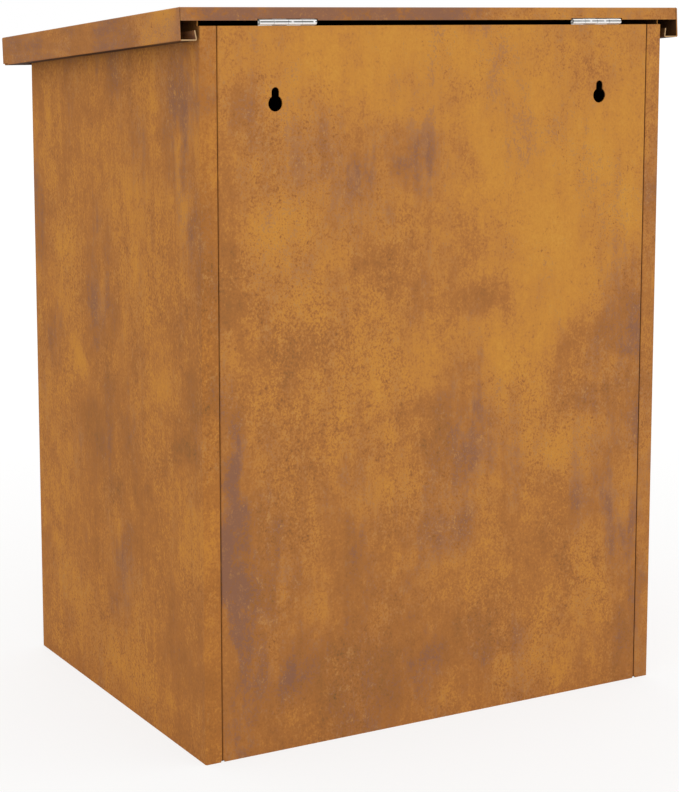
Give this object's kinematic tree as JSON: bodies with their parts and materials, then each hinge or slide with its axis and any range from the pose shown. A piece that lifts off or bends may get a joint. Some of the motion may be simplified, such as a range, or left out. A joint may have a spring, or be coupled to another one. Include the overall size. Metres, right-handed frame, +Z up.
{
  "type": "rusty mailbox",
  "caption": "Box mailbox folded from rusted sheet steel, with a sloping hinged lid, a front door with a cam lock, and keyholes in its back for hanging",
  "frame": {"origin": "the middle of the underside of the floor, on the plane it stands on", "axes": "+X to the side with the lock's end of the door, +Y towards the back panel that goes against a wall, +Z up; the door is on -Y"},
  "size_m": [0.3818, 0.3053, 0.4787],
  "materials": {
    "rusted_steel": "matte",
    "bright_zinc": "satin",
    "lock_chrome": "polished",
    "buffer_rubber": "matte"
  },
  "bodies": {
    "body": {"back_panel": "rusted_steel", "floor_tray": "rusted_steel", "front_top_rail": "rusted_steel", "side_panel_right": "rusted_steel", "side_panel_left": "rusted_steel", "seam_rivet_right_1": "bright_zinc", "seam_rivet_right_2": "bright_zinc", "seam_rivet_right_3": "bright_zinc", "seam_rivet_right_4": "bright_zinc", "seam_rivet_right_5": "bright_zinc", "seam_rivet_left_1": "bright_zinc", "seam_rivet_left_2": "bright_zinc", "seam_rivet_left_3": "bright_zinc", "seam_rivet_left_4": "bright_zinc", "seam_rivet_left_5": "bright_zinc", "lid_buffer_right_rear": "buffer_rubber", "lid_buffer_right_front": "buffer_rubber", "lid_buffer_left_rear": "buffer_rubber", "lid_buffer_left_front": "buffer_rubber", "lid_hinge_right_body_leaf": "bright_zinc", "lid_hinge_left_body_leaf": "bright_zinc", "lid_hinge_right_pin": "bright_zinc", "lid_hinge_left_pin": "bright_zinc", "door_hinge_upper_frame_leaf": "bright_zinc", "door_hinge_lower_frame_leaf": "bright_zinc", "door_hinge_upper_pin": "bright_zinc", "door_hinge_lower_pin": "bright_zinc"},
    "lid": {"lid_pan": "rusted_steel", "lid_hinge_right_lid_leaf": "bright_zinc", "lid_hinge_left_lid_leaf": "bright_zinc"},
    "door": {"door_panel": "rusted_steel", "door_hinge_upper_door_leaf": "bright_zinc", "door_hinge_lower_door_leaf": "bright_zinc", "lock_housing": "lock_chrome", "lock_nut": "bright_zinc"},
    "lock": {"lock_plug": "lock_chrome", "lock_cam": "bright_zinc", "cam_screw": "bright_zinc"}
  },
  "joints": [
    {"name": "lid_hinge", "type": "hinge", "parent": "body", "child": "lid", "pos_m": [0, 0.14085, 0.4695], "axis": [-1, 0, 0], "range_deg": [0, 155]},
    {"name": "door_hinge", "type": "hinge", "parent": "body", "child": "door", "pos_m": [-0.15995, -0.141, 0.2275], "axis": [0, 0, -1], "range_deg": [0, 175]},
    {"name": "lock_turn", "type": "hinge", "parent": "door", "child": "lock", "pos_m": [0.1305, -0.141, 0.22749], "axis": [0, 1, 0], "range_deg": [0, 90]}
  ]
}
